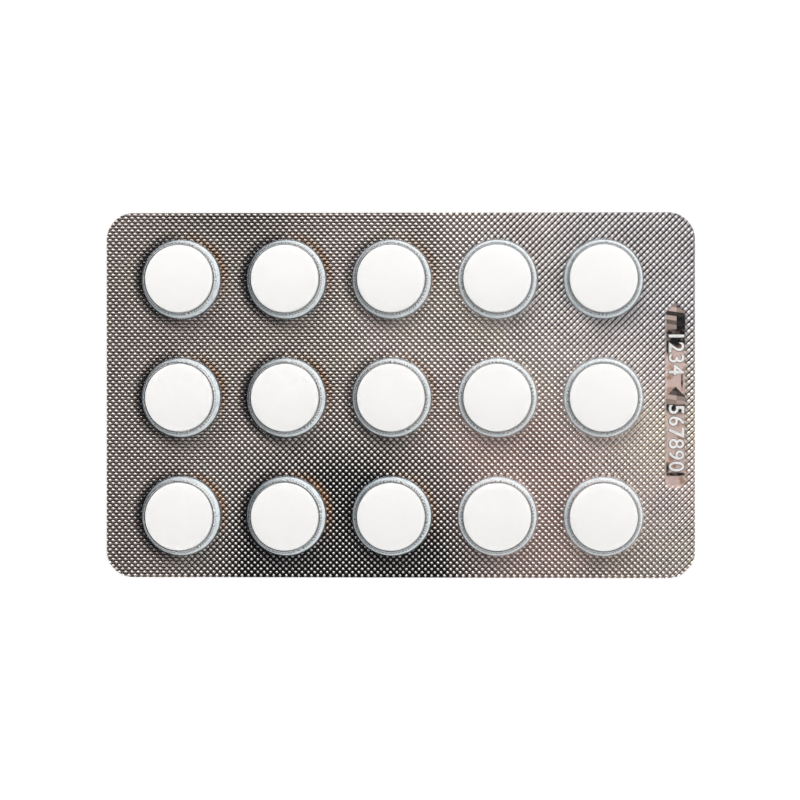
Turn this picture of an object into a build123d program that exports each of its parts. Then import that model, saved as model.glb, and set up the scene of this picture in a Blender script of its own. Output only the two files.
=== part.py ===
"""Blister pack of round tablets: a clear formed film, a lidding foil and one tablet in each pocket.

The pack lies on its foil, pockets up. X runs along the pack, Y across it, Z is up, and the origin is
the middle of the foil's underside. All sizes are in millimetres.
"""
from build123d import *
from math import cos, radians, tan
import os

os.makedirs("parts", exist_ok=True)

# Tablet: round, plain, with flat faces
tablet_diameter = 10.5
tablet_thickness = 3.8

# Lidding foil: hard aluminium with its lacquers
foil_thickness = 0.04

# Film: clear sheet, thinner where the pockets are drawn
film_thickness = 0.25
drawn_thickness = 0.2

# Room round a tablet in its pocket, and the pocket's own form
seat_clearance = 0.02
side_clearance = 0.15
roof_clearance = 0.2
roof_rise = 0.2
draft_angle = 8.0

# Layout: pockets in columns and rows, with the sealed web between them and out to the edges
columns = 5
rows = 3
web_between_columns = 4.3
web_between_rows = 6.3
web_left = 5.65
web_front = 3.5
web_back = 4.3
corner_radius = 4.2

# Code land: the smooth strip that the code tool presses into the web, along the right edge
land_width = 3.4
land_length = 29.0
land_point = 1.7
land_end_radius = 1.2
land_depth = 0.05
land_to_pocket = 3.45
land_to_edge = 1.3
land_shift = -0.1

# Heights above the foil's underside
web_top = foil_thickness + film_thickness
tablet_bottom = foil_thickness + seat_clearance
tablet_top = tablet_bottom + tablet_thickness
shoulder_height = tablet_top + roof_clearance

# Radii of a pocket: inside its drafted wall, outside it at the web, and of its domed roof
tablet_radius = tablet_diameter / 2
draft = radians(draft_angle)


def cavity_radius(height):
    """Inside radius of a pocket's drafted wall at a height."""
    return tablet_radius + side_clearance + (tablet_top - height) * tan(draft)


def level(thickness):
    """A thickness of the drafted wall, measured level."""
    return thickness / cos(draft)


shoulder_radius = cavity_radius(shoulder_height)
roof_radius = (shoulder_radius**2 + roof_rise**2) / (2 * roof_rise)
roof_centre = shoulder_height + roof_rise - roof_radius
pocket_radius = cavity_radius(web_top) + level(drawn_thickness)

# Places of the pockets and size of the pack
column_pitch = 2 * pocket_radius + web_between_columns
row_pitch = 2 * pocket_radius + web_between_rows
web_right = land_to_pocket + land_width + land_to_edge
pack_length = web_left + (columns - 1) * column_pitch + 2 * pocket_radius + web_right
pack_width = web_front + (rows - 1) * row_pitch + 2 * pocket_radius + web_back
first_x = web_left + pocket_radius - pack_length / 2
first_y = pack_width / 2 - web_back - pocket_radius

# Pockets by row and column: row 1 at the back, column 1 at the left
pocket_places = {
    (row, column): (first_x + (column - 1) * column_pitch, first_y - (row - 1) * row_pitch)
    for row in range(1, rows + 1)
    for column in range(1, columns + 1)
}


def pocket_form(grow):
    """A drafted plug with a domed top: the pocket's inside, or its outside when grown by the wall."""
    clear_of_roof = shoulder_height + 2 * roof_rise + grow
    low = (cavity_radius(foil_thickness) + level(grow), foil_thickness)
    high = (cavity_radius(clear_of_roof) + level(grow), clear_of_roof)
    middle = ((low[0] + high[0]) / 2, (low[1] + high[1]) / 2)
    with BuildPart() as form:
        with BuildSketch(Plane.XZ):
            with BuildLine():
                Line((0, foil_thickness), low)
                Bezier(low, middle, high)
                Polyline(high, (0, clear_of_roof), (0, foil_thickness))
            make_face()
        revolve(axis=Axis.Z)
        with Locations((0, 0, roof_centre)):
            Sphere(roof_radius + grow, rotation=(90, 0, 0), mode=Mode.INTERSECT)
    return form.part


pocket_inside = pocket_form(grow=0)
pocket_outside = pocket_form(grow=drawn_thickness)

# Formed film: the flat web, a pocket drawn up from it at each place, and the code land
with BuildPart() as formed_film:
    with BuildSketch(Plane.XY.offset(foil_thickness)):
        RectangleRounded(pack_length, pack_width, corner_radius)
    extrude(amount=film_thickness)
    with Locations(*pocket_places.values()):
        add(pocket_outside)
        add(pocket_inside, mode=Mode.SUBTRACT)
    with BuildSketch(Plane.XY.offset(web_top)) as code_land:
        land_right = pack_length / 2 - land_to_edge
        land_left = land_right - land_width
        land_back = land_shift + land_length / 2
        land_front = land_shift - land_length / 2
        with BuildLine():
            Polyline(
                (land_left, land_front),
                (land_left, land_back - land_point),
                (land_right - land_width / 2, land_back),
                (land_right, land_back - land_point),
                (land_right, land_front),
                close=True,
            )
        make_face()
        fillet(code_land.vertices().group_by(Axis.Y)[0], radius=land_end_radius)
    extrude(amount=-land_depth, mode=Mode.SUBTRACT)
formed_film.part.label = "formed_film"
export_step(formed_film.part, "parts/formed_film.step")

# Lidding foil: flat, cut to the film's outline and sealed to its web
with BuildPart() as lidding_foil:
    with BuildSketch():
        RectangleRounded(pack_length, pack_width, corner_radius)
    extrude(amount=foil_thickness)
lidding_foil.part.label = "lidding_foil"
export_step(lidding_foil.part, "parts/lidding_foil.step")

# Tablets: one in each pocket, lying on the foil
for (row, column), place in pocket_places.items():
    with BuildPart() as tablet:
        with BuildSketch(Plane.XY.offset(tablet_bottom)):
            with Locations(place):
                Circle(tablet_radius)
        extrude(amount=tablet_thickness)
    tablet.part.label = f"tablet_r{row}_c{column}"
    export_step(tablet.part, f"parts/{tablet.part.label}.step")
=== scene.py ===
"""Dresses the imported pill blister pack: knurled foil, clear formed film, tablets and stamped code."""
import math

import bmesh
import bpy
from mathutils import Color, Matrix, Vector


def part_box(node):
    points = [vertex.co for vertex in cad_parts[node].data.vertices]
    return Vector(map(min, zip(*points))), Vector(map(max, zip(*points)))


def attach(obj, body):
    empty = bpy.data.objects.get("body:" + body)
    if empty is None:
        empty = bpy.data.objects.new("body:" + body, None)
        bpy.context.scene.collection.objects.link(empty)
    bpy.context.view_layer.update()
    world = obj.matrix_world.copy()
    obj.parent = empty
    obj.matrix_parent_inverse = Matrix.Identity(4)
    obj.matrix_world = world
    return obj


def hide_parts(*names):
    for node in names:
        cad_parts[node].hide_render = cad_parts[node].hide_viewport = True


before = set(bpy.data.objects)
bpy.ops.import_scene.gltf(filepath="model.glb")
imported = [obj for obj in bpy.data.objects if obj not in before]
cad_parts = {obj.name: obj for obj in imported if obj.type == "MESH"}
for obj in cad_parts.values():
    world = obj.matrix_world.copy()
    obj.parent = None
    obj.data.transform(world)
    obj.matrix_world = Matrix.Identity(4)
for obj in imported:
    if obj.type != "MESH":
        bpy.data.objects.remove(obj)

bl_info = {
    "name": "Pill Blister Pack",
    "version": (1, 0, 0),
    "blender": (4, 5, 0),
    "location": "3D View > Sidebar > Blister",
    "description": "Makes the foil, film, tablets and stamped code of a pill blister pack",
    "category": "Add Mesh",
}

MM = 0.001
# Points a hair apart are one, and near is a looser reach
HAIR, NEAR = 1e-7, 1e-6
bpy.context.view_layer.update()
FILM_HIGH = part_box("formed_film")[1]
FOIL_LOW, FOIL_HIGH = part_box("lidding_foil")
TABLET_NODES = sorted(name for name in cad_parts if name.startswith("tablet_"))
TABLET_LOW, TABLET_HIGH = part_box(TABLET_NODES[0])
TABLET_RADIUS = (TABLET_HIGH.x - TABLET_LOW.x) / 2
HALF_LENGTH = (FOIL_HIGH.x - FOIL_LOW.x) / 2
HALF_WIDTH = (FOIL_HIGH.y - FOIL_LOW.y) / 2
# Middle of each pocket, from the tablets that lie in them
TABLET_BOXES = [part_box(name) for name in TABLET_NODES]
PLACES = [Vector(((low.x + high.x) / 2, (low.y + high.y) / 2, 0)) for low, high in TABLET_BOXES]


def setting(name, description, default, **more):
    """A property of its default's kind."""
    kinds = {float: bpy.props.FloatProperty, int: bpy.props.IntProperty, str: bpy.props.StringProperty,
             tuple: bpy.props.FloatVectorProperty}
    return kinds[type(default)](name=name, description=description, default=default, **more)


def length(name, description, default):
    """A length, its default in millimetres."""
    return setting(name, description, default * MM, unit="LENGTH", precision=6)


def colour(name, what, default):
    """The colour of something."""
    return setting(name, "Colour of " + what, default, subtype="COLOR", size=3, min=0, max=1)


class BlisterPackSizes(bpy.types.PropertyGroup):
    """Sizes that several pieces of the pack share."""

    corner_radius: length("Corner radius", "Radius of the pack's four corners", 4.2)
    corner_steps: setting("Corner steps", "Flats round a corner", 14)
    web_top: length("Web top", "Height of the flat web's upper face", 0.29)
    draft_angle: setting("Draft", "Lean of a pocket's wall", math.radians(8), subtype="ANGLE")
    side_clearance: length("Side clearance", "From a tablet's upper edge to the pocket's wall", 0.15)
    wall: length("Drawn wall", "Thickness of the drawn film", 0.2)
    roof_rise: length("Roof rise", "Height of the domed roof above its shoulder", 0.2)
    land_edge: length("Land to edge", "From the code land to the pack's right edge", 1.3)
    land_width: length("Land width", "Width of the code land", 3.4)
    land_length: length("Land length", "Length of the code land with its point", 29)
    land_point: length("Land point", "Length of the point at the land's back end", 1.7)
    land_end_radius: length("Land end radius", "Radius at the land's front corners", 1.2)
    land_shift: length("Land shift", "From the pack's middle to the land's", -0.1)

    def wall_radius(self, height, outside):
        """Radius of a pocket's drafted wall at a height, inside or outside."""
        inside = TABLET_RADIUS + self.side_clearance + (TABLET_HIGH.z - height) * math.tan(self.draft_angle)
        return inside + (self.wall / math.cos(self.draft_angle) if outside else 0)

    def land_box(self):
        """Left, right, front and back of the code land."""
        right = HALF_LENGTH - self.land_edge
        front = self.land_shift - self.land_length / 2
        return right - self.land_width, right, front, front + self.land_length


class BlisterFoil(bpy.types.PropertyGroup):
    """The knurled foil's sizes and colours."""

    pitch: length("Knurl pitch", "Side of one diamond of the knurl", 0.7)
    cuts: setting("Cuts", "Faces along a diamond's side", 3)
    height: length("Knurl height", "Height of a full knurl bump", 0.17)
    fine_height: length("Fine height", "Height that the material adds to a bump", 0.05)
    stretch: setting("Stretch", "How far a bump is narrowed across the pack", 0.85)
    ridge: setting("Ridge", "Height of a ridge's saddles, as a share", 0.5)
    smooth_ring: length("Smooth ring", "Width of the foil without knurl round a foot", 0.09)
    fade: length("Fade", "Width over which the knurl fades out", 0.2)
    # Painted shade and a painted brown reflection beside each pocket: their reach and the ways to their two
    # sides
    painted_side_reach: length("Lean", "Width of the foil that leans beside a pocket", 1.7)
    dark_side: setting("Dark side", "Way to the dark side of a pocket", (-1.0, 0.0), size=2)
    brown_side: setting("Brown side", "Way to the brown side of a pocket", (0.85, 0.53), size=2)
    # The lines between the bumps are drawn darker than the flanks: painted shade in the grooves
    groove: setting("Groove", "How bright the lines are beside the flanks", 0.68)
    deep_groove: setting("Deep groove", "The same where the ridges slant and in the dark patch", 0.03)
    # Flank colours: dark, pink and pale are painted reflections of the surroundings, laid on in patches;
    # warm and tan vary at random
    dark: colour("Dark metal", "the bumps' flanks in the dark patches", (0.006, 0.007, 0.009))
    warm: colour("Warm metal", "the bumps' flanks where the foil is lightest", (1.0, 0.81, 0.74))
    tan: colour("Tan metal", "the flanks where they are tan", (1.0, 0.85, 0.69))
    pink: colour("Pink metal", "the flanks at the front right", (1.0, 0.70, 0.62))
    pale: colour("Pale metal", "the flanks at the back right", (0.74, 0.70, 0.72))
    # Painted highlights on the bump tops
    crest: colour("Crest", "the bumps' tops", (0.73, 0.70, 0.68))
    # The bare foil between a tablet and its wall is drawn dark blue: painted shade
    gap: colour("Gap", "the bare foil round a tablet", (0.05, 0.16, 0.25))
    # Beside a pocket: a painted brown reflection, painted shade, and brown painted highlights at the brown
    # side; brown also colours the code land's random specks
    brown: colour("Brown", "the foil at a pocket's brown side", (0.42, 0.21, 0.10))
    painted_shade: colour("Black", "the foil at a pocket's dark side", (0.008, 0.010, 0.012))
    brown_crest: colour("Brown crest", "the bumps' tops at that side", (0.50, 0.35, 0.24))
    land: colour("Land", "the code land", (0.88, 0.69, 0.63))
    # Painted shade in dark patches on the code land
    land_shade: colour("Stain", "the dark stains on the code land", (0.02, 0.02, 0.02))
    outside: colour("Outer face", "the foil's bare underside", (0.62, 0.61, 0.60))
    roughness: setting("Roughness", "Roughness of the metal", 0.25)


class BlisterFilm(bpy.types.PropertyGroup):
    """The clear film's sizes and finish."""

    under: length("Underside", "Height of the web's underside", 0.15)
    rim_radius: length("Rim radius", "Rounding of a pocket's shoulder", 0.3)
    foot_radius: length("Foot radius", "Rounding where a pocket meets the web", 0.25)
    inner_rim_radius: length("Inner rim radius", "Rounding inside a pocket's shoulder", 0.12)
    inner_foot_radius: length("Inner foot radius", "Rounding under a pocket's foot", 0.4)
    land_depth: length("Land depth", "Depth of the code land", 0.05)
    steps: setting("Steps", "Faces round a pocket", 72)
    dome_rings: setting("Dome rings", "Rings across the domed roof", 7)
    tint: colour("Tint", "light through the film", (0.997, 0.993, 0.99))
    # The walls' milky white is a painted sheen and their glow is painted light
    milk: colour("Milk", "the whitened wall", (0.91, 0.95, 0.96))
    glow: colour("Glow", "the light that the sheet carries to its folds", (0.90, 0.97, 1.0))
    fold_width: length("Fold width", "Reach of the whitening past a pocket's foot", 0.12)
    wall_sheen: setting("Whitening", "How white the drawn wall is, seen along it", 0.90)
    # The ripples round a wall are ticks of painted reflection of the knurl
    ripples: setting("Ripples", "Upright ripples round a wall", 76.0)
    edge_light: setting("Edge light", "Strength of the light in the folds", 0.3)
    ripple_tilt: setting("Ripple tilt", "How far the ripples face up", 1.7)
    # The side of a wall where the painted sheen is brightest; the far side gets painted shade
    bright_side: setting("Bright side", "Way to the whitest side of a pocket", (0.97, -0.25), size=2)


class BlisterTablets(bpy.types.PropertyGroup):
    """The tablets' form and colour."""

    crown: length("Crown", "Height of the faces' crown", 0.2)
    edge_radius: length("Edge radius", "Rounding of the edges", 0.2)
    steps: setting("Steps", "Faces round a tablet", 72)
    rings: setting("Rings", "Rings across a crowned face", 5)
    white: colour("White", "the tablets", (0.955, 0.95, 0.94))


class BlisterCode(bpy.types.PropertyGroup):
    """The stamped digits."""

    first: setting("First group", "Digits nearest the land's point", "1234")
    second: setting("Second group", "Digits nearest the land's end", "567890")
    digit_height: length("Digit height", "Height of a digit", 2.45)
    digit_pitch: length("Digit pitch", "From one digit to the next", 1.77)
    relief: length("Relief", "Height of the digits above the land", 0.085)
    ridge: setting("Ridge", "Round of a stroke's ridge, for a font of size 1", 0.058)
    thinning: setting("Thinning", "Taken off a stroke before it is rounded", 0.022)
    facet_length: length("Facet length", "Length of one facet of an arrow", 0.68)
    ridge_shift: length("Ridge shift", "From an arrow's middle to its ridge", 0.15)
    arrow_margin: length("Arrow margin", "From an arrow to the land's side", 0.25)
    # Painted light on the digits: a white highlight on the ridges, mottled at random, and dark reflection on
    # the flanks
    bright: colour("Bright digits", "the digits' ridges", (1.0, 1.0, 1.0))
    worn: colour("Worn digits", "the ridges where they are worn", (0.90, 0.90, 0.88))
    flank: colour("Digit flanks", "the digits' steep sides", (0.03, 0.03, 0.03))
    # Painted reflections: the tones of the arrows' facets
    facet_dark: colour("Dark facet", "the darkest facets", (0.012, 0.012, 0.012))
    facet_light: colour("Light facet", "the lightest facets", (0.86, 0.67, 0.59))


class BlisterStage(bpy.types.PropertyGroup):
    """Camera, lamps and floor."""

    photo_scale: length("Pixel", "Width of a pixel of the photograph", 0.15612)
    camera_height: length("Camera height", "Height above the table", 425)
    world: setting("World", "Brightness all round", 1.0)
    ceiling: setting("Ceiling", "Reach of the dark ceiling, as a share of the sky", 0.9)
    ceiling_dark: colour("Dark ceiling", "the ceiling's middle", (0.06, 0.06, 0.065))
    lamp_length: length("Lamp length", "Length of the soft box", 1400.0)
    lamp_width: length("Lamp width", "Width of the soft box", 400.0)
    lamp_power: setting("Lamp power", "Power of the soft box", 3.65, unit="POWER")
    floor: colour("Floor", "the table top", (0.95, 0.95, 0.95))
    floor_glow: setting("Floor glow", "Light added to the table top as it is seen", 0.14)


def bevel(bm, geom, offset, segments, affect="EDGES"):
    """Rounds edges or corners."""
    return bmesh.ops.bevel(bm, geom=geom, offset=offset, segments=segments, profile=0.5, affect=affect,
                           material=-1, clamp_overlap=True)


def finish_piece(bm, name, materials, replaced, smooth_angle=35, smooth=False):
    """Makes an object of a mesh, with its materials, and sets it in the frame."""
    bmesh.ops.recalc_face_normals(bm, faces=bm.faces)
    if smooth:
        for face in bm.faces:
            face.smooth = True
    mesh = bpy.data.meshes.new(name)
    bm.to_mesh(mesh)
    bm.free()
    for material in materials:
        mesh.materials.append(material)
    mesh.set_sharp_from_angle(angle=math.radians(smooth_angle))
    piece = add_object(name, mesh)
    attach(piece, "root")
    if replaced:
        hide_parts(*replaced)


def add_object(name, data):
    """A new object in the scene."""
    made = bpy.data.objects.new(name, data)
    bpy.context.collection.objects.link(made)
    return made


def rounded_plate(bm, sizes, height):
    """A flat face with the pack's outline at a height."""
    made = bmesh.ops.create_grid(bm, x_segments=1, y_segments=1, size=1,
                                 matrix=Matrix.Translation((0, 0, height)) @ Matrix.Diagonal(
                                     (HALF_LENGTH, HALF_WIDTH, 1, 1)))
    bevel(bm, made["verts"], sizes.corner_radius, sizes.corner_steps, affect="VERTICES")
    return max(bm.faces, key=lambda face: len(face.verts))


def of_kind(geom, kind):
    """The parts of one kind among those that an operator made."""
    return [part for part in geom if isinstance(part, kind)]


def thicken(bm, face, height):
    """Draws a flat face up by a height."""
    drawn = bmesh.ops.extrude_face_region(bm, geom=[face])["geom"]
    bmesh.ops.translate(bm, verts=of_kind(drawn, bmesh.types.BMVert), vec=(0, 0, height))


def lies_at(part, height):
    """Whether an edge or a face lies flat at a height."""
    return all(abs(vert.co.z - height) < HAIR for vert in part.verts)


def rims_at(bm, height):
    """Boundary edges that lie at a height."""
    return [edge for edge in bm.edges if edge.is_boundary and lies_at(edge, height)]


def turned(bm, points, steps):
    """Turns a chain of (radius, height) points round Z."""
    verts = [bm.verts.new((radius, 0, height)) for radius, height in points]
    edges = [bm.edges.new(pair) for pair in zip(verts, verts[1:])]
    bmesh.ops.spin(bm, geom=verts + edges, cent=(0, 0, 0), axis=(0, 0, 1), angle=2 * math.pi, steps=steps,
                   use_merge=True, use_duplicate=False)
    bmesh.ops.remove_doubles(bm, verts=bm.verts, dist=HAIR)


def round_ring(bm, radius, height, offset, segments):
    """Rounds the ring of edges at a radius and height."""
    ring = [edge for edge in bm.edges if lies_at(edge, height)
            and all(abs(v.co.xy.length - radius) < 2 * NEAR for v in edge.verts)]
    bevel(bm, ring, offset, segments)


# Shader nodes


class Nodes:
    """Adds nodes to a new material, or a new world, and links them."""

    def __init__(self, name, world=False):
        self.owner = (bpy.data.worlds if world else bpy.data.materials).new(name)
        self.owner.use_nodes = True
        self.tree = self.owner.node_tree
        self.tree.nodes.clear()
        self.output = self.node("OutputWorld" if world else "OutputMaterial")
        self.coords = self.node("TexCoord").outputs["Generated" if world else "Object"]

    def node(self, kind, inputs=None, **settings):
        """One shader node with its settings, and its inputs as values, colours or links."""
        node = self.tree.nodes.new("ShaderNode" + kind)
        for key, value in settings.items():
            setattr(node, key, value)
        for key, value in (inputs or {}).items():
            if isinstance(value, bpy.types.NodeSocket):
                self.tree.links.new(value, node.inputs[key])
            else:
                node.inputs[key].default_value = (*value, 1) if isinstance(value, Color) else value
        return node

    def add(self, kind, inputs=None, **settings):
        """A new node's first output."""
        return self.node(kind, inputs, **settings).outputs[0]

    def math(self, operation, *values, clamp=False):
        """The result of one sum."""
        return self.add("Math", dict(enumerate(values)), operation=operation, use_clamp=clamp)

    def times(self, first, *others):
        """A product."""
        for other in others:
            first = self.math("MULTIPLY", first, other)
        return first

    def less(self, amount, share=1.0):
        """1 less a share of an amount."""
        return self.math("MULTIPLY_ADD", amount, -share, 1.0)

    def mix(self, factor, first, second, **settings):
        """A mix of two colours."""
        inputs = {0: factor, 6: first, 7: second}
        return self.node("Mix", inputs, data_type="RGBA", **settings).outputs[2]

    def blend(self, factor, first, second):
        """A mix of two numbers."""
        return self.math("MULTIPLY_ADD", self.math("SUBTRACT", second, first), factor, first)

    def ramp(self, factor, *stops):
        """A ramp of (position, grey) stops."""
        node = self.node("ValToRGB", {"Fac": factor})
        elements = node.color_ramp.elements
        while len(elements) < len(stops):
            elements.new(0.5)
        for element, (position, grey) in zip(elements, stops):
            element.position = position
            element.color = (grey, grey, grey, 1)
        return node.outputs["Color"]

    def noise(self, scale, detail=1, roughness=0.5):
        """Noise on the object's own coordinates."""
        return self.add("TexNoise", {
            "Vector": self.coords, "Scale": scale, "Detail": detail, "Roughness": roughness})

    def speckle(self, scale, low, high, detail=1):
        """Noise sharpened by a ramp."""
        return self.ramp(self.noise(scale, detail), low, high)

    def field(self, name):
        """A number that the mesh carries."""
        return self.node("Attribute", attribute_name=name).outputs["Fac"]

    def part(self, vector, axis):
        """One coordinate of a vector."""
        return self.node("SeparateXYZ", {"Vector": vector}).outputs[axis]

    def bump(self, height, distance, strength=1.0, **over):
        """A normal bent by a height, over another one."""
        return self.add("Bump", {"Height": height, "Distance": distance, "Strength": strength, **over})

    def surface(self, shader):
        """Sends a shader to the output."""
        self.tree.links.new(shader, self.output.inputs["Surface"])
        return self.owner


WHITE = (1, 1, 1, 1)
# The knurl's painted highlights on the tops and painted shade in the lines: what the dark front patch hides,
# ridges beside bumps, and the bands of the rows
FRONT_ROWS_HIDDEN, FRONT_TOPS_HIDDEN = 0.8, 0.76
RIDGE_TOP, RIDGE_LINE, LINE_SLOPE = 0.18, 0.35, 10.0
ROW_CAP, ROW_GAIN, ROW_BASE = 0.7, 1.30, 0.28
# Patches of tone on the foil: the middle and the reach in mm, and the share of the way in where it is full
# Painted reflections: the dark patches, a pink and a pale tint; the even patches take away painted groove
# shade and the calm one dims the painted highlights
FRONT_DARK = ((-9, -28), (28, 29), 0.45)
BACK_DARK = ((-25, 28), (18, 12), 0.8)
CORNER_DARK = ((32, 30), (42, 26), 0.5)
FRONT_PINK = ((17, -16), (26, 24), 0.6)
BACK_PALE = ((42, 22), (34, 26), 0.6)
FRONT_EVEN = ((24, -13), (27, 25), 0.5)
MIDDLE_EVEN = ((6, 10), (19, 12), 0.4)
LEFT_CALM = ((-42, 24), (40, 26), 0.6)
# How much of their strength some of them have
BACK_STRENGTH, CORNER_STRENGTH, EVEN_STRENGTH, MIDDLE_STRENGTH, CALM_STRENGTH = 0.55, 0.35, 0.75, 0.5, 0.25
# Painted shade on the code land, beside digits and past the last one: the middle and the reach in mm
LAND_SHADES = ((44.3, 11.0, 1.5, 4.8), (43.0, 9.0, 2.8, 2.2), (41.7, 13.2, 0.9, 1.4), (41.8, 7.6, 0.9, 1.4),
          (44.5, -1.4, 0.9, 1.9), (41.5, -1.6, 0.8, 1.5), (43.0, -1.8, 2.6, 1.5), (42.9, -12.3, 2.4, 0.4),
          (41.6, -11.3, 0.6, 1.2), (44.0, 2.2, 0.2, 1.6), (41.3, -7.0, 0.4, 4.5))
LAND_SHADE_FULL = 0.45
# What the foil's points carry: knurl, open foil, code land, a pocket's two sides for painted shade and a
# painted brown reflection, and the slant
FOIL_ZONES = ("knurl", "open", "land", "left", "right", "slant")
# A pocket's left side gets painted shade, less and less to the right
SHADE_MIDDLE, SHADE_REACH, SHADE_LEAST = 0.6, 30 * MM, 0.1
# What the film's points carry: how near a fold is, how bright its side is drawn (painted sheen at the bright
# side, painted shade at the far side), the way from the pocket's middle
FILM_FIELDS = ("fold", "side", "way_x", "way_y")
# How far noise moves the ticks along the wall, a painted reflection of the knurl
RIPPLE_DRIFT = 30.0


def knurl_waves(n, foil):
    """The knurl's three waves, 0 to 1: along and across its ridges, and one for its rows."""
    slanting = n.add("Mapping", {
        "Vector": n.coords, "Rotation": (0, 0, -math.pi / 4), "Scale": (math.pi / foil.pitch,) * 3})
    x, y = (n.part(slanting, axis) for axis in "XY")
    waves = [n.math("SINE", angle) for angle in (x, y, n.math("ADD", x, y))]
    return [n.times(wave, wave) for wave in waves]


def knurl_forms(n, foil, slant, front):
    """The knurl's height, and where its tops get painted highlights and its lines painted shade: bumps, or
    ridges where it slants.
    """
    along, across, rows = knurl_waves(n, foil)
    cells = n.times(along, across)
    ridges = n.times(across, n.math("MULTIPLY_ADD", along, 1 - foil.ridge, foil.ridge))
    height = n.blend(slant, n.times(cells, n.less(rows, foil.stretch)), ridges)
    level = n.times(n.less(front, FRONT_ROWS_HIDDEN), n.less(slant))
    row = n.less(rows)
    narrow = n.blend(level, 1.0, n.times(row, row))
    bumps = n.times(cells, n.less(front, FRONT_TOPS_HIDDEN), narrow)
    tops = n.blend(slant, bumps, n.times(ridges, RIDGE_TOP))
    capped = n.math("MINIMUM", narrow, ROW_CAP)
    band = n.blend(level, 1.0, n.math("MULTIPLY_ADD", capped, ROW_GAIN, ROW_BASE))
    deep = n.blend(level, foil.deep_groove, foil.groove)
    above = n.math("MULTIPLY", n.blend(slant, cells, n.times(ridges, RIDGE_LINE)), LINE_SLOPE, clamp=True)
    return height, tops, n.times(band, n.blend(above, deep, 1.0))


def soft_patch(n, middle, reach, full):
    """A soft round patch on the pack: 0 past its reach, and 1 from a share of the way in."""
    spread = n.add("Mapping", {
        "Vector": n.coords, "Location": (*(-at / size for at, size in zip(middle, reach)), 0),
        "Scale": (*(1 / (size * MM) for size in reach), 1)})
    patch = n.node("TexGradient", {"Vector": spread}, gradient_type="SPHERICAL")
    return n.ramp(patch.outputs["Fac"], (0.0, 0.0), (full, 1.0))


def foil_lightness(n, front):
    """How light the metal is drawn: a little less at the left and less in the dark patches, both painted
    dark reflection, and less in random clouds.
    """
    from_left = n.math("MULTIPLY_ADD", n.part(n.coords, "X"), 0.5 / HALF_LENGTH, 0.5)
    left = n.ramp(from_left, (0.15, 0.92), (0.35, 0.98), (0.52, 1.0))
    back = n.less(soft_patch(n, *BACK_DARK), BACK_STRENGTH)
    corner = n.less(soft_patch(n, *CORNER_DARK), CORNER_STRENGTH)
    cloud = n.math("MULTIPLY_ADD", n.noise(150, detail=3, roughness=0.6), 1.3, 0.35)
    return n.math("MULTIPLY", n.times(left, n.less(front), back, corner), cloud, clamp=True)


def flank_colour(n, foil, zone, front):
    """The bumps' flanks: rosy and tan at random, paler, pinker or darker in patches of painted reflection,
    and beside a pocket a painted brown reflection and painted shade.
    """
    tinted = n.mix(n.speckle(75, (0.40, 0.0), (0.62, 1.0)), foil.warm, foil.tan)
    tinted = n.mix(soft_patch(n, *FRONT_PINK), tinted, foil.pink)
    tinted = n.mix(soft_patch(n, *BACK_PALE), tinted, foil.pale)
    flank = n.mix(foil_lightness(n, front), foil.dark, tinted)
    # Beside a pocket: a painted brown reflection at one side and painted shade at the other
    flank = n.mix(zone["right"], flank, foil.brown)
    return n.mix(zone["left"], flank, foil.painted_shade)


def crest_colour(n, foil, zone):
    """Painted highlights on the bumps' tops: dimmer at the back left; beside a pocket, a painted brown
    reflection at one side and painted shade at the other.
    """
    calm = n.times(soft_patch(n, *LEFT_CALM), CALM_STRENGTH)
    crest = n.mix(calm, foil.crest, foil.crest * 0.5)
    crest = n.mix(zone["right"], crest, foil.brown_crest)
    return n.mix(zone["left"], crest, foil.crest * 0.06)


def land_colour(n, foil):
    """The code land: rosy metal with brown specks at random, and dark patches of painted shade."""
    faded = n.mix(n.speckle(700, (0.34, 0.3), (0.48, 1.0)), foil.brown, foil.land)
    land_shades = [soft_patch(n, (x, y), (across, along), LAND_SHADE_FULL) for x, y, across, along in LAND_SHADES]
    while len(land_shades) > 1:
        land_shades.append(n.math("MAXIMUM", land_shades.pop(0), land_shades.pop(0)))
    uneven = n.speckle(900, (0.35, 0.7), (0.55, 1.0))
    return n.mix(n.times(land_shades[0], uneven), faded, foil.land_shade)


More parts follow.
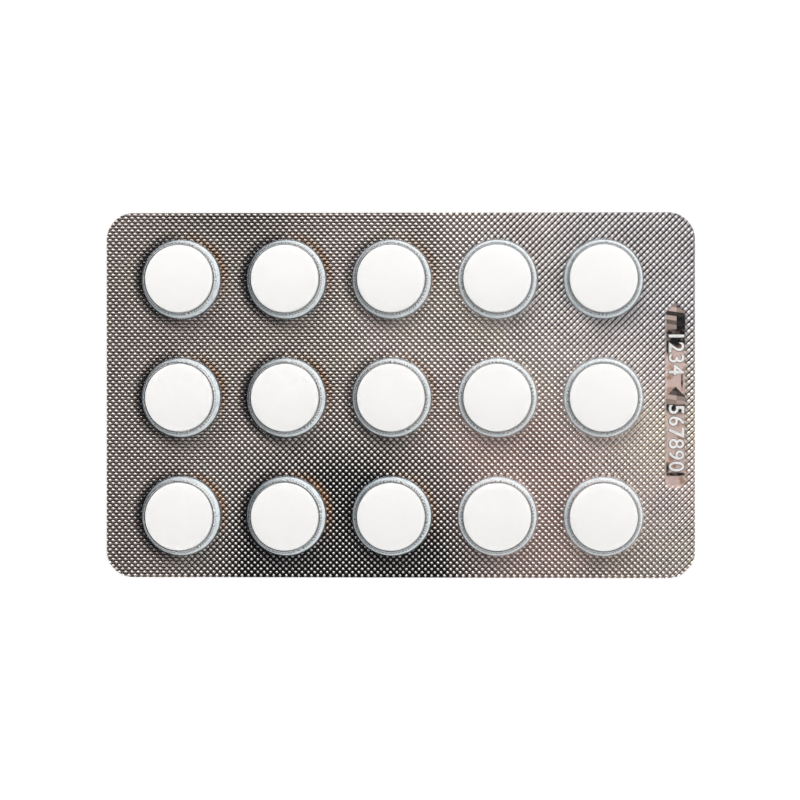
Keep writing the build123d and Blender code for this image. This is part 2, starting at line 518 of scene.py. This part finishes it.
def foil_inside_material(foil):
    """The foil's sealed face, seen through the film: painted shade in the lines, painted highlights on the
    tops, and patches of painted reflection.
    """
    n = Nodes("foil_inside")
    zone = {name: n.field(name) for name in FOIL_ZONES}
    front = soft_patch(n, *FRONT_DARK)
    height, tops, lines = knurl_forms(n, foil, zone["slant"], front)
    flank = flank_colour(n, foil, zone, front)
    even = n.math("MAXIMUM", n.times(soft_patch(n, *FRONT_EVEN), EVEN_STRENGTH),
                  n.times(soft_patch(n, *MIDDLE_EVEN), MIDDLE_STRENGTH))
    # Painted shade in the lines, taken back toward white in the even patches
    knurled = n.mix(1.0, flank, n.mix(even, lines, WHITE), blend_type="MULTIPLY")
    # Painted highlights on the bump tops
    shining = n.ramp(n.times(tops, zone["knurl"]), (0.03, 0.0), (0.17, 1.0))
    knurled = n.mix(shining, knurled, crest_colour(n, foil, zone))
    # Painted shade on the smooth foil round the pockets, darker to the left of the pack
    shade = n.math("MULTIPLY_ADD", n.part(n.coords, "X"), -1 / SHADE_REACH, SHADE_MIDDLE, clamp=True)
    base = n.mix(zone["knurl"], n.mix(shade, flank, foil.painted_shade), knurled)
    # Painted shade on the bare foil between each tablet and its wall
    base = n.mix(zone["open"], base, foil.gap)
    base = n.mix(zone["land"], base, land_colour(n, foil))
    bumps = n.bump(n.times(height, zone["knurl"]), foil.fine_height)
    creases = n.bump(n.times(n.noise(420), n.less(zone["knurl"])), 0.10 * MM, 0.3, Normal=bumps)
    return n.surface(n.add("BsdfPrincipled", {
        "Base Color": base, "Metallic": 1.0, "Normal": creases,
        "Roughness": n.math("MULTIPLY_ADD", zone["land"], 0.2, foil.roughness)}))


def foil_outside_material(foil):
    """The foil's bare underside, with the knurl's pits as a fine bump."""
    n = Nodes("foil_outside")
    pits = n.bump(n.times(*knurl_waves(n, foil)[:2]), -0.06 * MM)
    return n.surface(n.add("BsdfPrincipled", {
        "Base Color": foil.outside, "Metallic": 1.0, "Roughness": 0.3, "Normal": pits}))


def film_fold_shader(n, film):
    """The wall's painted sheen: milky white, its shading normal tipped up so that it catches the sky, and a
    painted glow.
    """
    facing = n.node("NewGeometry").outputs["Normal"]
    tilted = n.add("VectorMath", {0: facing, 1: (0, 0, film.ripple_tilt)}, operation="ADD")
    upward = n.add("VectorMath", {0: tilted}, operation="NORMALIZE")
    milky = n.add("BsdfDiffuse", {"Color": film.milk, "Normal": upward})
    painted_glow = n.add("Emission", {"Color": film.glow, "Strength": film.edge_light})
    return n.add("AddShader", {0: milky, 1: painted_glow})


def film_material(film):
    """Clear glossy sheet that lets the lamp through to what lies under it, with a painted sheen and glow on
    its folds seen edge-on.
    """
    n = Nodes("clear_sheet")
    sheet = n.add("BsdfPrincipled", {
        "Base Color": film.tint, "Roughness": 0.03, "IOR": 1.53, "Transmission Weight": 1.0,
        "Normal": n.bump(n.noise(160), 0.004 * MM, 0.4)})
    fold, side, way_x, way_y = (n.field(name) for name in FILM_FIELDS)
    drift = n.times(n.noise(420), RIPPLE_DRIFT)
    around = n.math("MULTIPLY_ADD", n.math("ARCTAN2", way_y, way_x), film.ripples, drift)
    wave = n.math("MULTIPLY_ADD", n.math("SINE", around), 0.5, 0.5)
    mottled = n.speckle(1100, (0.38, 0.72), (0.58, 1.0))
    # Painted sheen round each wall's foot, mottled at random
    ring = n.times(n.ramp(fold, (0.26, 0.0), (0.46, film.wall_sheen)), mottled)
    # Ticks: painted reflection of the knurl seen through the wall
    ticks = n.times(n.ramp(wave, (0.30, 0.10), (0.75, 0.70)), n.ramp(fold, (0.01, 0.0), (0.06, 1.0)))
    edge_on = n.node("LayerWeight", {"Blend": 0.5}).outputs["Facing"]
    along = n.ramp(edge_on, (0.35, 0.0), (0.65, 1.0))
    # Seen edge-on, the wall turns to the painted sheen and glow, brightest at its bright side
    folded = n.add("MixShader", {
        0: n.times(n.math("MAXIMUM", ring, ticks), side, along), 1: sheet, 2: film_fold_shader(n, film)})
    clear = n.add("BsdfTransparent", {"Color": film.tint})
    shadow = n.node("LightPath").outputs["Is Shadow Ray"]
    return n.surface(n.add("MixShader", {0: shadow, 1: folded, 2: clear}))


def tablet_material(tablets):
    """Pressed white powder: a fine grain and hardly any shine."""
    n = Nodes("pressed_powder")
    grain = n.bump(n.noise(5200, detail=3, roughness=0.6), 0.02 * MM, 0.2)
    speck = n.speckle(2600, (0.3, 0.0), (0.6, 1.0), detail=2)
    return n.surface(n.add("BsdfPrincipled", {
        "Base Color": n.mix(speck, tablets.white * 0.98, tablets.white), "Roughness": 0.62,
        "Subsurface Weight": 0.12, "Subsurface Scale": 0.8 * MM, "Subsurface Radius": (1.0, 0.9, 0.8),
        "Normal": grain}))


def digit_material(code):
    """The stamped digits: a painted highlight on the up-facing ridges, mottled at random, and painted dark
    reflection on the steep flanks.
    """
    n = Nodes("stamped_metal")
    bright = n.mix(n.speckle(900, (0.35, 0.0), (0.6, 1.0), detail=2), code.worn, code.bright)
    upward = n.part(n.node("NewGeometry").outputs["Normal"], "Z")
    # Up-facing ridges get the painted highlight, steep flanks the painted dark reflection
    base = n.mix(n.ramp(upward, (0.91, 0.0), (0.985, 1.0)), code.flank, bright)
    return n.surface(n.add("BsdfPrincipled", {"Base Color": base, "Metallic": 0.3, "Roughness": 0.38}))


def facet_material(code):
    """The stamped arrows: mirror-like facets, each drawn with its own tone of painted reflection."""
    n = Nodes("faceted_metal")
    return n.surface(n.add("BsdfPrincipled", {
        "Base Color": n.mix(n.field("tone"), code.facet_dark, code.facet_light),
        "Metallic": 0.35, "Roughness": 0.25, "Normal": n.bump(n.noise(700), 0.03 * MM, 0.6)}))


# Foil

# Where the bumps turn into slanting ridges, how far that takes, and what a step back counts beside one right
SLANT_START, SLANT_REACH, SLANT_BACK = 18 * MM, 17 * MM, 0.6
# How sharply the painted shade and the painted brown reflection beside a pocket keep to their side
BLACK_SPREAD, BROWN_SPREAD = 0.4, 2
# Knurl kept under a tablet's edge
KEPT_KNURL = 0.5 * MM


def point_fields(bm, names):
    """New numbers for a mesh's points, one for each name."""
    for name in names:
        bm.verts.layers.float.new(name)
    return [bm.verts.layers.float[name] for name in names]


def from_nearest_pocket(x, y):
    """The way to a point from the middle of the nearest pocket."""
    return min((Vector((x - place.x, y - place.y)) for place in PLACES), key=lambda way: way.length)


def shaded_share(x):
    """How much painted shade a pocket's left side gets: less to the right of the pack."""
    return min(1.0, max(SHADE_LEAST, SHADE_MIDDLE - x / SHADE_REACH))


def land_distance(sizes, x, y):
    """From a point to the code land's outline, below 0 inside it."""
    left, right, front, back = sizes.land_box()
    taper = max(0.0, y - (back - sizes.land_point)) * (sizes.land_width / 2) / sizes.land_point
    radius = sizes.land_end_radius
    out_x = abs(x - (left + right) / 2) - (sizes.land_width / 2 - taper)
    out_y = max(front - y, y - back)
    corner_x, corner_y = out_x + radius, front + radius - y
    if corner_x > 0 and corner_y > 0:
        return math.hypot(corner_x, corner_y) - radius
    return max(out_x, out_y)


def fading(distance, width):
    """0 at half a width before the line, 1 at half a width past it."""
    return min(1.0, max(0.0, distance / width + 0.5))


class BLISTER_OT_foil(bpy.types.Operator):
    """Make the knurled lidding foil"""

    bl_idname = "blister.make_foil"
    bl_label = "Foil"
    bl_options = {"REGISTER", "UNDO"}

    def execute(self, context):
        sizes, foil = context.scene.blister_sizes, context.scene.blister_foil
        bm = bmesh.new()
        face_side = foil.pitch / foil.cuts
        reach = (HALF_LENGTH + HALF_WIDTH) / math.sqrt(2) + foil.pitch
        count = 2 * math.ceil(reach / foil.pitch) * foil.cuts
        half = count * face_side / 2
        bmesh.ops.create_grid(bm, x_segments=count, y_segments=count, size=half,
                              matrix=Matrix.Rotation(math.radians(45), 4, "Z"))
        self.trim(bm, sizes, foil.pitch)
        self.clear_pockets(bm, sizes)
        self.raise_knurl(bm, sizes, foil)
        self.close_underside(bm)
        finish_piece(bm, "knurled_foil", [foil_inside_material(foil), foil_outside_material(foil)],
                     ["lidding_foil"], smooth_angle=60)
        return {"FINISHED"}

    def trim(self, bm, sizes, margin):
        """Cuts the grid to the pack's outline: far faces go first, then straight cuts all round."""
        far = [face for face in bm.faces if abs(face.calc_center_median().x) > HALF_LENGTH + margin
               or abs(face.calc_center_median().y) > HALF_WIDTH + margin]
        bmesh.ops.delete(bm, geom=far, context="FACES")
        radius = sizes.corner_radius
        core = Vector((HALF_LENGTH - radius, HALF_WIDTH - radius, 0))
        steps = sizes.corner_steps
        for step in range(4 * steps):
            angle = math.radians(90) * (step + 0.5) / steps
            outward = Vector((math.cos(angle), math.sin(angle), 0))
            corner = Vector((math.copysign(core.x, outward.x), math.copysign(core.y, outward.y), 0))
            near = [face for face in bm.faces
                    if (face.calc_center_median() - corner).dot(outward) > radius - margin]
            self.cut(bm, near, corner + outward * radius, outward)
        for outward, reach in (((1, 0, 0), HALF_LENGTH), ((-1, 0, 0), HALF_LENGTH),
                               ((0, 1, 0), HALF_WIDTH), ((0, -1, 0), HALF_WIDTH)):
            self.cut(bm, bm.faces, Vector(outward) * reach, Vector(outward))

    def cut(self, bm, faces, point, outward):
        """Cuts some faces by a plane and clears what lies outside it."""
        faces = list(faces)
        verts = {vert for face in faces for vert in face.verts}
        edges = {edge for face in faces for edge in face.edges}
        bmesh.ops.bisect_plane(bm, geom=list(verts) + list(edges) + faces, dist=1e-9, plane_co=point,
                               plane_no=outward, clear_outer=True)

    def clear_pockets(self, bm, sizes):
        """Joins the faces under each tablet into one."""
        inner = TABLET_RADIUS - KEPT_KNURL
        for place in PLACES:
            under = [face for face in bm.faces
                     if all((vert.co - place).xy.length < inner for vert in face.verts)]
            bmesh.ops.dissolve_faces(bm, faces=under, use_verts=True)

    def raise_knurl(self, bm, sizes, foil):
        """Raises the bumps, and marks the knurl, the open foil, the code land and the pockets' two sides,
        for painted shade and a painted brown reflection.
        """
        knurl, bare, land, left, right, slant = point_fields(bm, FOIL_ZONES)
        foot = sizes.wall_radius(sizes.web_top, outside=True)
        for vert in bm.verts:
            x, y = vert.co.x, vert.co.y
            way = from_nearest_pocket(x, y)
            from_pocket = way.length - foot
            from_land = land_distance(sizes, x, y)
            vert[knurl] = fading(min(from_pocket - foil.smooth_ring, from_land + foil.fade), foil.fade)
            vert[bare] = fading(-from_pocket, foil.fade)
            vert[land] = fading(-from_land - foil.fade, foil.fade)
            vert[slant] = min(1.0, max(0.0, (x + SLANT_BACK * y - SLANT_START) / SLANT_REACH))
            if way.length > 0:
                strength = shaded_share(x - way.x)
                way.normalize()
                beside = strength * max(0.0, 1 - (max(0.0, from_pocket) / foil.painted_side_reach) ** 2)
                vert[left] = beside * max(0.0, way.dot(foil.dark_side)) ** BLACK_SPREAD
                vert[right] = beside * max(0.0, way.dot(foil.brown_side)) ** BROWN_SPREAD
            vert.co.z = FOIL_HIGH.z + foil.height * self.relief(foil, x, y, vert[slant]) * vert[knurl]

    def relief(self, foil, x, y, share):
        """The knurl's height at a place, 0 to 1: bumps, or slanting ridges by the share."""
        turn = math.pi / (foil.pitch * math.sqrt(2))
        along, across = math.sin((x + y) * turn) ** 2, math.sin((y - x) * turn) ** 2
        bumps = along * across * (1 - foil.stretch * math.sin(2 * y * turn) ** 2)
        ridges = across * (foil.ridge + (1 - foil.ridge) * along)
        return bumps + (ridges - bumps) * share

    def close_underside(self, bm):
        """Draws the edge down to the table and closes the underside with one face."""
        rim = [edge for edge in bm.edges if edge.is_boundary]
        drawn = bmesh.ops.extrude_edge_only(bm, edges=rim)["geom"]
        for vert in of_kind(drawn, bmesh.types.BMVert):
            vert.co.z = FOIL_LOW.z
        loop = [edge for edge in of_kind(drawn, bmesh.types.BMEdge) if lies_at(edge, FOIL_LOW.z)]
        for face in bmesh.ops.contextual_create(bm, geom=loop)["faces"]:
            face.material_index = 1


# Film

# Flat film kept round a foot, in foot radii; how much painted shade a wall's far side gets, and how much
# more to the left of the pack
FLAT_RING = 2.2
DULL_SIDE, DULL_IN_DARK = 0.25, 0.6


def film_chain(sizes, film, outside):
    """Half the section of one surface of the film, from the web to the top of the roof."""
    web = sizes.web_top if outside else film.under
    apex = FILM_HIGH.z if outside else FILM_HIGH.z - sizes.wall
    shoulder_height = apex - sizes.roof_rise
    foot = sizes.wall_radius(web, outside)
    shoulder = sizes.wall_radius(shoulder_height, outside)
    sphere = (shoulder ** 2 + sizes.roof_rise ** 2) / (2 * sizes.roof_rise)
    flat = sizes.wall_radius(sizes.web_top, True) + FLAT_RING * film.foot_radius
    rings = film.dome_rings
    dome = []
    for ring in range(1, rings + 1):
        radius = shoulder * (1 - ring / rings)
        dome.append((radius, apex - sphere + math.sqrt(sphere ** 2 - radius ** 2)))
    return [(flat, web), (foot, web), (shoulder, shoulder_height)] + dome


def pocket_mesh(sizes, film):
    """One pocket's outer and inner surfaces, open at the web."""
    bm = bmesh.new()
    for outside in (True, False):
        chain = film_chain(sizes, film, outside)
        turned(bm, chain, film.steps)
        round_ring(bm, *chain[2], film.rim_radius if outside else film.inner_rim_radius, 5)
        round_ring(bm, *chain[1], film.foot_radius if outside else film.inner_foot_radius, 4)
    mesh = bpy.data.meshes.new("pocket")
    bm.to_mesh(mesh)
    bm.free()
    return mesh


class BLISTER_OT_film(bpy.types.Operator):
    """Make the clear formed film"""

    bl_idname = "blister.make_film"
    bl_label = "Film"
    bl_options = {"REGISTER", "UNDO"}

    def execute(self, context):
        sizes, film = context.scene.blister_sizes, context.scene.blister_film
        bm = bmesh.new()
        pocket = pocket_mesh(sizes, film)
        for place in PLACES:
            pocket.transform(Matrix.Translation(place))
            bm.from_mesh(pocket)
            pocket.transform(Matrix.Translation(-place))
        bpy.data.meshes.remove(pocket)
        holes = [rims_at(bm, height) for height in (sizes.web_top, film.under)]
        thicken(bm, rounded_plate(bm, sizes, film.under), sizes.web_top - film.under)
        flats = sorted(bm.faces, key=lambda face: len(face.verts))[-2:]
        flats.sort(key=lambda face: -face.verts[0].co.z)
        outlines = [list(face.edges) for face in flats]
        bmesh.ops.delete(bm, geom=flats, context="FACES_ONLY")
        land = [self.land(bm, sizes, film), []]
        for rims in zip(outlines, holes, land):
            bmesh.ops.triangle_fill(bm, use_beauty=True, use_dissolve=False, edges=sum(rims, []),
                                    normal=(0, 0, 1))
        self.mark_folds(bm, sizes, film)
        finish_piece(bm, "clear_film", [film_material(film)], ["formed_film"], smooth=True)
        return {"FINISHED"}

    def mark_folds(self, bm, sizes, film):
        """Marks the drawn walls, most at the foot, how bright each wall's side is drawn, and the way from
        each pocket's middle.
        """
        fold, side, way_x, way_y = point_fields(bm, FILM_FIELDS)
        shoulder_height = film_chain(sizes, film, outside=True)[2][1]
        for vert in bm.verts:
            way = from_nearest_pocket(vert.co.x, vert.co.y)
            vert[way_x], vert[way_y] = way / MM
            past = way.length - sizes.wall_radius(max(vert.co.z, sizes.web_top), outside=True)
            if past > -sizes.wall / 2 and vert.co.z > sizes.web_top - NEAR:
                climbed = (vert.co.z - sizes.web_top) / (shoulder_height - sizes.web_top)
                shaded = DULL_SIDE + DULL_IN_DARK * shaded_share(vert.co.x - way.x)
                vert[side] = 1 - shaded * (0.5 - 0.5 * way.normalized().dot(film.bright_side)) ** 2
                vert[fold] = max(0.0, 1 - max(0.0, past) / film.fold_width) * max(0.0, 1 - climbed)

    def land(self, bm, sizes, film):
        """The code land's sunk floor and sides; returns its upper edges."""
        left, right, front, back = sizes.land_box()
        shoulder = back - sizes.land_point
        tip = ((left + right) / 2, back)
        corners = [(left, front), (right, front), (right, shoulder), tip, (left, shoulder)]
        verts = [bm.verts.new((x, y, sizes.web_top - film.land_depth)) for x, y in corners]
        bm.faces.new(verts)
        bevel(bm, verts[:2], sizes.land_end_radius, 8, affect="VERTICES")
        floor = next(face for face in bm.faces if lies_at(face, sizes.web_top - film.land_depth))
        drawn = bmesh.ops.extrude_edge_only(bm, edges=list(floor.edges))["geom"]
        upper = of_kind(drawn, bmesh.types.BMVert)
        bmesh.ops.translate(bm, verts=upper, vec=(0, 0, film.land_depth))
        return [edge for edge in of_kind(drawn, bmesh.types.BMEdge) if set(edge.verts) <= set(upper)]


# Tablets


class BLISTER_OT_tablets(bpy.types.Operator):
    """Make the tablets, one for each pocket"""

    bl_idname = "blister.make_tablets"
    bl_label = "Tablets"
    bl_options = {"REGISTER", "UNDO"}

    def execute(self, context):
        tablets = context.scene.blister_tablets
        thickness = TABLET_HIGH.z - TABLET_LOW.z
        powder = tablet_material(tablets)
        sphere = (TABLET_RADIUS ** 2 + tablets.crown ** 2) / (2 * tablets.crown)
        crown = []
        for ring in range(tablets.rings + 1):
            radius = TABLET_RADIUS * ring / tablets.rings
            crown.append((radius, sphere - math.sqrt(sphere ** 2 - radius ** 2)))
        chain = crown + [(radius, thickness - height) for radius, height in reversed(crown)]
        for name, place in zip(TABLET_NODES, PLACES):
            bm = bmesh.new()
            turned(bm, chain, tablets.steps)
            for height in (tablets.crown, thickness - tablets.crown):
                round_ring(bm, TABLET_RADIUS, height, tablets.edge_radius, 4)
            bmesh.ops.translate(bm, verts=bm.verts, vec=place + Vector((0, 0, TABLET_LOW.z)))
            finish_piece(bm, f"pressed_{name}", [powder], [name], smooth=True)
        return {"FINISHED"}


# Stamped code

# The code's groups: the arrow's tip and the first digit from the land's point in mm, and the tones of the
# arrow's facets, painted reflections, a pair for each row from the tip on: left and right of the ridge
GROUPS = ((0.05, 4.3, ((0.5, 0.12), (0.95, 0.55), (0.06, 0.04), (0.8, 0.0), (0.22, 0.02), (0.55, 0.0))),
          (13.1, 15.8, ((0.05, 0.05), (0.2, 0.1), (0.8, 0.45), (0.5, 0.7))))
# Slope of the cuts between the rows of facets, and how far the ridge goes up and down from row to row
ROW_SLOPE, RIDGE_STEP = 0.15, 0.02 * MM
# Height of a digit in the font at size 1
FONT_DIGIT = 0.73


class BLISTER_OT_code(bpy.types.Operator):
    """Stamp the digits on the code land"""

    bl_idname = "blister.make_code"
    bl_label = "Code"
    bl_options = {"REGISTER", "UNDO"}

    def execute(self, context):
        sizes, code = context.scene.blister_sizes, context.scene.blister_code
        left, right, _, back = sizes.land_box()
        middle = (left + right) / 2
        bm, arrows = bmesh.new(), bmesh.new()
        arrows.faces.layers.float.new("tone")
        for digits, (tip, start, tones) in zip((code.first, code.second), GROUPS):
            for index, digit in enumerate(digits):
                along = back - start * MM - code.digit_pitch * (index + 0.5)
                self.stamp(bm, digit, code, Vector((middle, along, FOIL_HIGH.z)))
            self.arrow(arrows, Vector((middle, back - tip * MM, 0)), tones, sizes, code)
        finish_piece(bm, "code_digits", [digit_material(code)], [])
        finish_piece(arrows, "code_arrows", [facet_material(code)], [], smooth_angle=1)
        return {"FINISHED"}

    def arrow(self, bm, tip, tones, sizes, code):
        """Adds an arrow-shaped block whose top is cut into facets, a row for each pair of painted reflection
        tones.
        """
        half = sizes.land_width / 2 - code.arrow_margin
        point = sizes.land_point * half / (sizes.land_width / 2)
        end = len(tones) * code.facet_length
        low = tip + Vector((0, 0, FOIL_HIGH.z / 2))
        corners = [(0, 0), (half, -point), (half, -end), (-half, -end), (-half, -point)]
        base = bm.faces.new([bm.verts.new(low + Vector((x, y, 0))) for x, y in reversed(corners)])
        thicken(bm, base, code.relief)
        cuts = [(tip + Vector((code.ridge_shift, 0, 0)), (1, 0, 0))]
        cuts += [(tip - Vector((0, code.facet_length * row, 0)), (ROW_SLOPE, 1, 0))
                 for row in range(1, len(tones))]
        for point_on, normal in cuts:
            near = [vert for vert in bm.verts if self.within(vert.co.y, tip, end)]
            edges = {edge for vert in near for edge in vert.link_edges}
            faces = {face for vert in near for face in vert.link_faces}
            bmesh.ops.bisect_plane(bm, geom=near + list(edges) + list(faces), dist=HAIR / 10,
                                   plane_co=point_on, plane_no=normal)
        ridge = [vert for vert in bm.verts if self.within(vert.co.y, tip, end) and vert.co.z > FOIL_HIGH.z
                 and abs(vert.co.x - tip.x - code.ridge_shift) < HAIR]
        for index, vert in enumerate(sorted(ridge, key=lambda vert: -vert.co.y)):
            vert.co.z += RIDGE_STEP if index % 2 else -RIDGE_STEP
        tone = bm.faces.layers.float["tone"]
        for face in bm.faces:
            middle = face.calc_center_median()
            if self.within(middle.y, tip, end):
                behind = tip.y - middle.y + ROW_SLOPE * (tip.x - middle.x)
                row = min(len(tones) - 1, int(behind / code.facet_length))
                face[tone] = tones[row][middle.x > tip.x + code.ridge_shift]

    def within(self, y, tip, end):
        """Whether a place lies between an arrow's tip and its end."""
        return tip.y - end - NEAR < y < tip.y + NEAR

    def stamp(self, bm, digit, code, place):
        """Adds one digit as a rounded ridge, its foot towards the left edge."""
        curve = bpy.data.curves.new("digit", "FONT")
        curve.body = digit
        curve.align_x = curve.align_y = "CENTER"
        curve.offset = -code.thinning
        curve.bevel_depth = code.ridge
        curve.bevel_resolution = 3
        curve.resolution_u = 5
        holder = bpy.data.objects.new("digit", curve)
        mesh = bpy.data.meshes.new_from_object(holder)
        scale = code.digit_height / FONT_DIGIT
        turn = Matrix.Rotation(math.radians(-90), 4, "Z")
        size = Matrix.Diagonal((scale, scale, code.relief / code.ridge, 1))
        lift = Matrix.Translation(place)
        one = bmesh.new()
        one.from_mesh(mesh)
        bmesh.ops.remove_doubles(one, verts=one.verts, dist=1e-4)
        bmesh.ops.transform(one, matrix=lift @ size @ turn, verts=one.verts)
        for vert in one.verts:
            vert.co.z = max(vert.co.z, FOIL_HIGH.z / 2)
        one.to_mesh(mesh)
        one.free()
        bm.from_mesh(mesh)
        bpy.data.objects.remove(holder)
        bpy.data.curves.remove(curve)
        bpy.data.meshes.remove(mesh)


# Stage

# The lamp's place in metres, and the way to the middle of the dark ceiling
LAMP_PLACE = Vector((0.0, 0.50, 0.62))
CEILING_MIDDLE = Vector((-0.28, -0.15, 1)).normalized()
# Share of the ceiling's reach that is darkest, and the height at which the photograph's scale holds
CEILING_CORE = 0.4
SCALE_HEIGHT = 0.3 * MM


class BLISTER_OT_stage(bpy.types.Operator):
    """Set up the floor, the lamps and the camera"""

    bl_idname = "blister.make_stage"
    bl_label = "Stage"
    bl_options = {"REGISTER", "UNDO"}

    def execute(self, context):
        stage = context.scene.blister_stage
        self.floor(stage)
        self.world(context.scene, stage)
        self.lamp(stage)
        self.camera(context.scene, stage)
        context.scene.view_settings.view_transform = "Standard"
        return {"FINISHED"}

    def floor(self, stage):
        """A pale table top just under the foil."""
        bm = bmesh.new()
        bmesh.ops.create_grid(bm, x_segments=1, y_segments=1, size=2,
                              matrix=Matrix.Translation((0, 0, -0.01 * MM)))
        mesh = bpy.data.meshes.new("table_top")
        bm.to_mesh(mesh)
        bm.free()
        n = Nodes("table_white")
        plain = n.add("BsdfDiffuse", {"Color": stage.floor})
        glow = n.add("Emission", {"Color": WHITE, "Strength": stage.floor_glow})
        path = n.node("LightPath").outputs
        mirrored = n.math("MAXIMUM", path["Is Glossy Ray"], path["Is Transmission Ray"])
        seen = n.math("MAXIMUM", path["Is Camera Ray"], mirrored)
        bright = n.add("AddShader", {0: plain, 1: glow})
        mesh.materials.append(n.surface(n.add("MixShader", {0: seen, 1: plain, 2: bright})))
        add_object("table_top", mesh)

    def world(self, scene, stage):
        """Even soft light from all round, but for the dark ceiling over the table."""
        n = Nodes("studio", world=True)
        away = n.node("VectorMath", {0: n.coords, 1: CEILING_MIDDLE}, operation="DISTANCE")
        past = n.ramp(away.outputs["Value"], (stage.ceiling * CEILING_CORE, 0.0), (stage.ceiling, 1.0))
        sky = n.mix(past, stage.ceiling_dark, WHITE)
        scene.world = n.surface(n.add("Background", {"Color": sky, "Strength": stage.world}))

    def lamp(self, stage):
        """A soft box behind the pack, that faces it."""
        light = bpy.data.lights.new("key", "AREA")
        light.shape = "RECTANGLE"
        light.size, light.size_y = stage.lamp_length, stage.lamp_width
        light.energy = stage.lamp_power
        holder = add_object("key", light)
        holder.location = LAMP_PLACE
        holder.rotation_mode = "QUATERNION"
        holder.rotation_quaternion = LAMP_PLACE.to_track_quat("Z", "Y")

    def camera(self, scene, stage):
        """Looks straight down; a small shift keeps the pack in the photograph's place."""
        frame_px, pack_px = 800, Vector((399.8, 395.15))
        below_px, axis_px = Vector((537.0, 380.0)), Vector((456.0, 380.0))
        data = bpy.data.cameras.new("camera")
        data.sensor_width = 36
        depth = stage.camera_height - SCALE_HEIGHT
        data.lens = data.sensor_width * depth / (frame_px * stage.photo_scale)
        data.shift_x = (frame_px / 2 - axis_px.x) / frame_px
        data.shift_y = (axis_px.y - frame_px / 2) / frame_px
        data.clip_start, data.clip_end = 0.01, 10
        holder = add_object("camera", data)
        below = (below_px - pack_px) * stage.photo_scale
        aim = (axis_px - pack_px) * stage.photo_scale
        holder.location = (below.x, -below.y, stage.camera_height)
        holder.rotation_euler = (0, math.atan2(below.x - aim.x, depth), 0)
        scene.camera = holder


class BLISTER_PT_panel(bpy.types.Panel):
    """Lists the pieces of the pack"""

    bl_label = "Blister pack"
    bl_idname = "BLISTER_PT_panel"
    bl_space_type = "VIEW_3D"
    bl_region_type = "UI"
    bl_category = "Blister"

    def draw(self, context):
        for operator in OPERATORS:
            self.layout.operator(operator.bl_idname)
        for name in SETTINGS:
            box = self.layout.box()
            settings = getattr(context.scene, name)
            for key in settings.bl_rna.properties.keys():
                if key not in {"rna_type", "name"}:
                    box.prop(settings, key)


OPERATORS = (BLISTER_OT_foil, BLISTER_OT_film, BLISTER_OT_tablets, BLISTER_OT_code, BLISTER_OT_stage)
SETTINGS = {
    "blister_sizes": BlisterPackSizes,
    "blister_foil": BlisterFoil,
    "blister_film": BlisterFilm,
    "blister_tablets": BlisterTablets,
    "blister_code": BlisterCode,
    "blister_stage": BlisterStage,
}


def register():
    """Registers the classes and hangs the settings on the scene."""
    for cls in (*SETTINGS.values(), *OPERATORS, BLISTER_PT_panel):
        bpy.utils.register_class(cls)
    for name, cls in SETTINGS.items():
        setattr(bpy.types.Scene, name, bpy.props.PointerProperty(type=cls))


def unregister():
    """Takes the settings and the classes away again."""
    for name in SETTINGS:
        delattr(bpy.types.Scene, name)
    for cls in reversed((*SETTINGS.values(), *OPERATORS, BLISTER_PT_panel)):
        bpy.utils.unregister_class(cls)


def main():
    """Makes the pack and its stage."""
    register()
    bpy.ops.blister.make_foil()
    bpy.ops.blister.make_film()
    bpy.ops.blister.make_tablets()
    bpy.ops.blister.make_code()
    bpy.ops.blister.make_stage()


if __name__ == "__main__":
    main()
